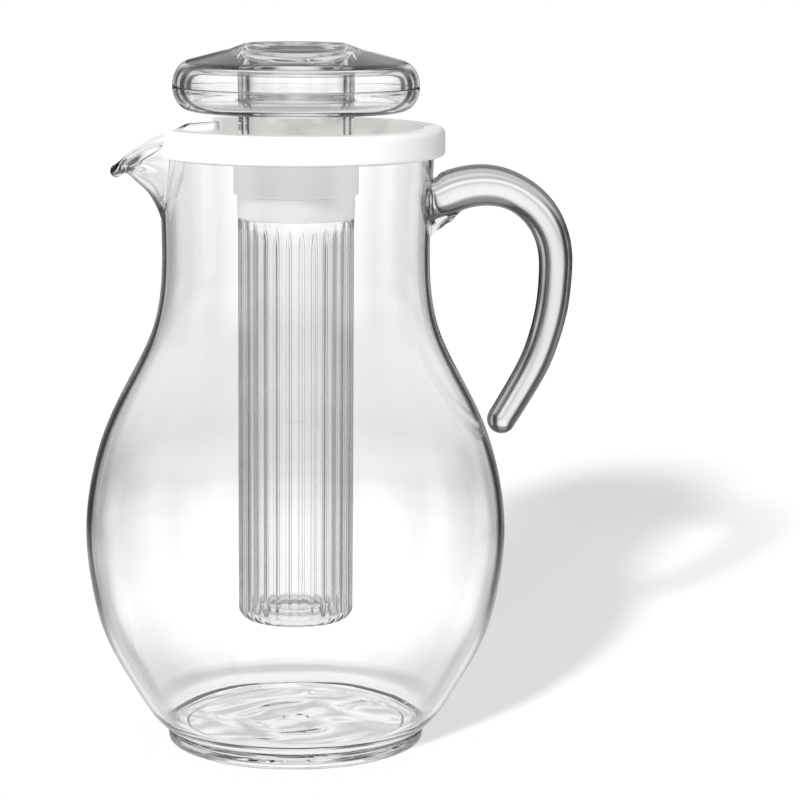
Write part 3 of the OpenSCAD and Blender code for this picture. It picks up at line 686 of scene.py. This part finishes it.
def node(tree, kind, settings=None, **inputs):
    """Adds a node. settings are its own properties, or stops: places from 0 up, each with a shade of grey.
    Each input, written by its name with _ for a space or as _ and its number, is a value or a socket."""
    new = tree.nodes.new("ShaderNode" + kind)
    for key, value in (settings or {}).items():
        if key == "stops":
            new.color_ramp.elements.remove(new.color_ramp.elements[1])
            new.color_ramp.elements[0].color = [value[0][1]] * 3 + [1]
            for place, shade in value[1:]:
                new.color_ramp.elements.new(place).color = [shade] * 3 + [1]
        else:
            setattr(new, key, value)
    for key, value in inputs.items():
        socket = new.inputs[int(key[1:])] if key[0] == "_" else new.inputs[key.replace("_", " ")]
        if isinstance(value, bpy.types.NodeSocket):
            tree.links.new(value, socket)
        else:
            socket.default_value = value
    return new


def only_output(tree):
    """The tree's output node, once all its other nodes are gone."""
    for old in [n for n in tree.nodes if not n.type.startswith("OUTPUT")]:
        tree.nodes.remove(old)
    return next(iter(tree.nodes))


def new_material(name):
    """A new node material, its tree and its output node."""
    material = bpy.data.materials.new(name)
    material.use_nodes = True
    return material, material.node_tree, only_output(material.node_tree)


print("the grey #808080 is", round(linear("#808080")[0], 3), "in linear light")

# %% [markdown]
# ## Clear plastic
# The jug, the handle, the tube and the knob are moulded from clear styrene-acrylonitrile (SAN). It bends
# light almost as much as glass, with an index near 1.57, and has no colour of its own. Towards an outline
# the view runs along inside the wall, where little light gets out, so clear things are pale in the middle
# and dark along the edge. An absorbing volume could give that too, but it would tint the thick base most.
# So that dark edge is painted shade: the surface's colour is painted darker as it turns away from the view.
# The melt's flow leaves slow waves in the surface, far below a millimetre, which wobble every reflection.
# Lamps and the soft light of the room shine through with a fixed loss, because bending each such ray would
# be slow and noisy.


# %% The clear plastic and its four kinds
def clear_plastic(name, wave_mm, depth_mm, lamp_share, painted_edge_shade):
    """Clear plastic, with painted shade. Its last argument holds the stops of that painted shade: what a
    surface lets through as it turns away from the view, from 0 for square on to 1 for edge on, so the colour
    is painted darker towards the outline. It passes lamp_share of a lamp's light at each surface. Noise of
    scale s has waves of about 1/s metres, so the waves use s = 1000 / wave_mm."""
    material, tree, output = new_material(name)
    # the waves give the eye wobbling highlights, as on a real moulding
    place = node(tree, "TexCoord").outputs["Object"]
    noise = node(tree, "TexNoise", Vector=place, Scale=1000 / wave_mm, Detail=1.5, Roughness=0.45).outputs[0]
    waves = node(tree, "Bump", Strength=1.0, Distance=depth_mm / 1000, Height=noise).outputs[0]
    # painted shade: the colour darkens as the surface turns from the view, which gives the dark outline
    facing = node(tree, "LayerWeight", Blend=0.5, Normal=waves).outputs["Facing"]
    shade = node(tree, "ValToRGB", {"stops": painted_edge_shade}, Fac=facing).outputs[0]
    body = node(tree, "BsdfPrincipled", Base_Color=shade, Roughness=0.006, IOR=1.57,
                Transmission_Weight=1.0, Normal=waves)
    # the two transparent parts let room light and lamps in, so that the white parts inside stay white
    lamps = node(tree, "BsdfTransparent", Color=[lamp_share] * 3 + [1])
    room = node(tree, "BsdfTransparent", Color=linear("#FEFEFE"))
    path = node(tree, "LightPath").outputs
    soft = node(tree, "MixShader", _0=path["Is Diffuse Ray"], _1=body.outputs[0], _2=room.outputs[0])
    mixed = node(tree, "MixShader", _0=path["Is Shadow Ray"], _1=soft.outputs[0], _2=lamps.outputs[0])
    tree.links.new(mixed.outputs[0], output.inputs["Surface"])
    print(name, "passes", lamp_share, "of a lamp's light at each surface")
    return material


# the thin wall is clear almost to its outline, where painted shade darkens it
jug_plastic = clear_plastic("clear_moulded_san_jug", 26, 0.05, 0.58, (
    (0, 1), (0.6, 1), (0.74, 0.92), (0.8, 0.8), (0.88, 0.45), (1, 0.2)))
# painted shade: the solid bar is left pale along its middle, painted grey beside that and dark along both
# sides
bar_plastic = clear_plastic("clear_moulded_san_handle", 20, 0.05, 0.5, (
    (0, 0.8), (0.12, 0.78), (0.165, 0.4), (0.33, 0.4), (0.42, 0.03), (1, 0.01)))
# painted shade darkens the tube towards its outline
tube_plastic = clear_plastic("clear_moulded_san_tube", 9, 0.02, 0.8, (
    (0, 1), (0.6, 1), (0.8, 0.75), (1, 0.4)))
# the knob's one dark step is painted shade, which draws the dark crescents at both its sides
knob_plastic = clear_plastic("clear_moulded_san_knob", 14, 0.06, 0.75, (
    (0, 1), (0.55, 1), (0.58, 0.04), (0.65, 0.04), (0.68, 0.95), (0.85, 0.95), (1, 0.4)))

# %% [markdown]
# ## White plastic and silicone
# The lid and the collar are white styrene plastic (ABS) from a finely eroded mould. That gives a satin
# surface: a broad, soft highlight and no mirror image. One roughness would do for that, but it looks
# computed, so the gloss varies a little. Some light wanders under the surface, which softens the shaded
# side. The erosion is some 0.02 mm fine, too fine to show, so it is drawn at 0.6 mm and very flat. The
# silicone rings are milky and soft.


# %% The white and the milky material
def satin_plastic(name, shade, roughness, grain_mm, depth_mm, soft_mm):
    """Opaque moulded plastic: satin gloss, mottled a little, faint grain, and some light under the skin."""
    cloud_mm = 18
    material, tree, output = new_material(name)
    place = node(tree, "TexCoord").outputs["Object"]
    # the grain breaks up highlights, the clouds keep the gloss from looking computed
    grain = node(tree, "TexNoise", Vector=place, Scale=1000 / grain_mm, Detail=2.0)
    cloud = node(tree, "TexNoise", Vector=place, Scale=1000 / cloud_mm, Detail=2.0)
    gloss = node(tree, "MapRange", Value=cloud.outputs[0], To_Min=roughness - 0.04, To_Max=roughness + 0.05)
    bump = node(tree, "Bump", Strength=1.0, Distance=depth_mm / 1000, Height=grain.outputs[0])
    # an even Subsurface_Radius keeps the softened light free of colour
    body = node(tree, "BsdfPrincipled", Base_Color=linear(shade), Roughness=gloss.outputs[0], IOR=1.52,
                Subsurface_Weight=0.15, Subsurface_Radius=(1, 1, 1), Subsurface_Scale=soft_mm / 1000,
                Normal=bump.outputs[0])
    tree.links.new(body.outputs[0], output.inputs["Surface"])
    print(name, "has a roughness of about", roughness)
    return material


white_plastic = satin_plastic("white_moulded_satin_abs", "#F4F4F2", 0.36, 0.6, 0.004, 2.0)
silicone = satin_plastic("milky_moulded_silicone", "#DCDDDB", 0.5, 0.9, 0.006, 3.0)

# %% [markdown]
# ## What each piece stands for
# Every piece gets its material, rides on a body of the imported model, so that it moves with the joints,
# and stands for one CAD node, which is hidden. A table is easier to check than nine sets of calls.

# %% Materials, bodies, slots and nodes
for piece, material, body, slot, replaced in (
        (jug, jug_plastic, "jug", "clear_jug", "pitcher_body"),
        (handle, bar_plastic, "jug", "clear_jug", "handle"),
        (lid, white_plastic, "lid", "white_plastic", "lid"),
        (tube, tube_plastic, "tube", "clear_tube", "ice_tube"),
        (tube_collar, white_plastic, "tube", "white_plastic", "tube_collar"),
        (tube_seal, silicone, "seal", "silicone", "tube_seal"),
        (knob_seal, silicone, "knob", "silicone", "knob_seal"),
        (knob_base, knob_plastic, "knob", "clear_knob", "knob_base"),
        (knob_top, knob_plastic, "knob", "clear_knob", "knob_top")):
    piece.data.materials.append(material)
    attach(piece, body)
    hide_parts(replaced)
    print(piece.name, "is of", material.name, "and rides on", body)

# %% [markdown]
# ## The world's directions
# Clear things are lit by what stands round them. Real panels could stand in the scene, but they would also
# light the white pieces and cast shadows. So the panels are shades of the world, drawn over two shares.
# One is how far a direction is turned from straight behind the object, 0, to straight in front of it, 1.
# The other rises from 0 straight down through 0.5 level to 1 straight up.

# %% Two shares of a direction
world = bpy.data.worlds.new("studio")
bpy.context.scene.world = world
world.use_nodes = True
# the world isn't searched for bright places, since only rays that happen to reach it should see it
world.cycles.sampling_method = "NONE"
sky = world.node_tree
sky_output = only_output(sky)
direction = node(sky, "TexCoord").outputs["Generated"]
# turned from the back: arccos(y / length of (x, y)) / pi
flat = node(sky, "VectorMath", {"operation": "MULTIPLY"}, _0=direction, _1=(1, 1, 0)).outputs[0]
flat_unit = node(sky, "VectorMath", {"operation": "NORMALIZE"}, _0=flat).outputs[0]
to_back = node(sky, "SeparateXYZ", Vector=flat_unit).outputs[1]
turned_by = node(sky, "Math", {"operation": "ARCCOSINE"}, _0=to_back).outputs[0]
round_share = node(sky, "Math", {"operation": "DIVIDE"}, _0=turned_by, _1=math.pi).outputs[0]
# rise: z / 2 + 0.5
up_part = node(sky, "SeparateXYZ", Vector=direction).outputs[2]
rise = node(sky, "Math", {"operation": "MULTIPLY_ADD"}, _0=up_part, _1=0.5, _2=0.5).outputs[0]
print("directions take", len(sky.nodes), "nodes")

# %% [markdown]
# ## What bent rays see
# Rays bent by the plastic see a ring of panels. It is pale behind the object and dark beside that, because
# plastic bends the view far sideways along its edges, and the dark there draws the black lines. Near the
# floor and overhead the panels end in even light, as a table and a ceiling give, and a second ramp dims all
# by level. Each stop is a place on the share and a shade.

# %% Panels round the object
panels = node(sky, "ValToRGB", {"stops": (
    (0, 1.2), (0.05, 1.12), (0.075, 0.7), (0.095, 0.1), (0.145, 0.03), (0.16, 0.3), (0.175, 0.85),
    (0.275, 0.85), (0.3, 0.25), (0.36, 0.04), (0.44, 0.1), (0.47, 0.75), (0.53, 0.75), (0.56, 0.2),
    (0.625, 0.15), (0.69, 0.4), (0.72, 0.9), (0.78, 0.9), (0.82, 0.5), (0.875, 0.4), (0.93, 0.9),
    (1, 1.1))}, Fac=round_share).outputs[0]
even = node(sky, "ValToRGB", {"stops": (
    (0, 1), (0.315, 1), (0.352, 0), (0.8, 0), (0.87, 1))}, Fac=rise).outputs[0]
levels = node(sky, "ValToRGB", {"stops": (
    (0, 0.92), (0.295, 0.92), (0.325, 0.58), (0.344, 0.55), (0.358, 0.76), (0.368, 0.93), (0.38, 1.05),
    (0.396, 0.95), (0.406, 0.76), (0.414, 0.66), (0.424, 0.72), (0.436, 0.84), (0.45, 0.9), (0.5, 1),
    (0.58, 1), (0.63, 0.4), (0.76, 0.3), (0.85, 0.9))}, Fac=rise).outputs[0]
ring = node(sky, "MixRGB", Fac=even, Color1=panels, Color2=(1, 1, 1, 1)).outputs[0]
through = node(sky, "MixRGB", {"blend_type": "MULTIPLY"}, Fac=1.0, Color1=ring, Color2=levels).outputs[0]
print("panels take the world to", len(sky.nodes), "nodes")

# %% [markdown]
# ## What mirrored rays see
# A mirror image in clear plastic is faint, so only bright or very dark things show in it. Mirrored rays see
# a bright strip beside the camera, black flags elsewhere, and a pale ceiling and table. The camera itself
# sees plain white, and all white surfaces get soft light from every side.

# %% Flags, and the world put together
flags = node(sky, "ValToRGB", {"stops": (
    (0, 1), (0.015, 0.8), (0.04, 0.12), (0.18, 0.05), (0.5, 0.04), (0.62, 0.1), (0.69, 1.6), (0.78, 1.6),
    (0.85, 0.3), (1, 0.5))}, Fac=round_share).outputs[0]
overhead = node(sky, "ValToRGB", {"stops": (
    (0, 1), (0.3, 1), (0.4, 0), (0.58, 0), (0.66, 1))}, Fac=rise).outputs[0]
mirrored = node(sky, "MixRGB", Fac=overhead, Color1=flags, Color2=linear("#EDEDED")).outputs[0]
path = node(sky, "LightPath").outputs
seen = node(sky, "MixRGB", Fac=path["Is Transmission Ray"], Color1=mirrored, Color2=through).outputs[0]
bent = node(sky, "Math", {"operation": "MAXIMUM"}, _0=path["Is Glossy Ray"],
            _1=path["Is Transmission Ray"]).outputs[0]
all_round = node(sky, "MixRGB", Fac=bent, Color1=linear("#C8C8C8"), Color2=seen).outputs[0]
final = node(sky, "MixRGB", Fac=path["Is Camera Ray"], Color1=all_round, Color2=(1, 1, 1, 1)).outputs[0]
background = node(sky, "Background", Color=final, Strength=1.0)
sky.links.new(background.outputs[0], sky_output.inputs["Surface"])
print("world of", len(sky.nodes), "nodes")

# %% [markdown]
# ## The floor
# A disc of white paper takes the shadow. Paper alone would look slightly grey beside the white background.
# A stronger lamp would mend that and burn out the white lid, so to the camera the paper also glows by an
# eighth. Rays inside the clear plastic pass through it and see the panels instead.

# %% Build the floor
floor_material, tree, output = new_material("white_paper_floor")
path = node(tree, "LightPath").outputs
glow = node(tree, "Math", {"operation": "MULTIPLY"}, _0=path["Is Camera Ray"], _1=0.12).outputs[0]
paper = node(tree, "BsdfDiffuse", Color=linear("#FDFDFD"))
lit = node(tree, "AddShader", _0=paper.outputs[0], _1=node(tree, "Emission", Strength=glow).outputs[0])
bent = node(tree, "Math", {"operation": "MAXIMUM"}, _0=path["Is Glossy Ray"],
            _1=path["Is Transmission Ray"]).outputs[0]
seen = node(tree, "MixShader", _0=bent, _1=lit.outputs[0], _2=node(tree, "BsdfTransparent").outputs[0])
tree.links.new(seen.outputs[0], output.inputs["Surface"])
radii_m = [0.0, 0.3, 0.8, 2, 4]
disc = turned(np.array([(1000 * r, 0) for r in radii_m]), around(96))
paper_floor = grid_mesh("paper_floor", disc)
paper_floor.data.materials.append(floor_material)

# %% [markdown]
# ## The lamp
# In the photo the shadow lies behind the jug on the right, so one lamp stands in front on the left,
# 26 degrees up. An area lamp could stand there too, but a sun needs only its direction. It is a few degrees
# wide, which softens the shadow's edge with distance. It isn't mirrored, or it would leave hot specks.

# %% Place the lamp
key = bpy.data.lights.new("key_lamp", "SUN")
key.energy, key.angle, key.specular_factor = 2.35, math.radians(4.5), 0
key_lamp = bpy.data.objects.new("key_lamp", key)
lamp_way = Vector((0.70, 1.95, -1))
key_lamp.rotation_euler = lamp_way.to_track_quat("-Z", "Y").to_euler()
key_lamp.visible_glossy = key_lamp.visible_transmission = False
bpy.context.scene.collection.objects.link(key_lamp)
print("lamp's light falls at", round(math.degrees(math.asin(-lamp_way.z / lamp_way.length)), 1), "degrees")

# %% [markdown]
# ## Light paths
# A look through jug and tube crosses eight surfaces, and the knob and the base add more, so paths may be
# long. Shorter paths would render faster and end in black. The view transform is the plain one, which keeps
# the hex colours as they are.

# %% Set the light paths
scene = bpy.context.scene
scene.view_settings.view_transform = "Standard"
scene.cycles.max_bounces = 28
scene.cycles.transmission_bounces = 26
scene.cycles.transparent_max_bounces = 32
scene.cycles.glossy_bounces = 8
scene.cycles.diffuse_bounces = 4
scene.cycles.caustics_reflective = False
scene.cycles.caustics_refractive = False
print("paths of up to", scene.cycles.max_bounces, "bounces")
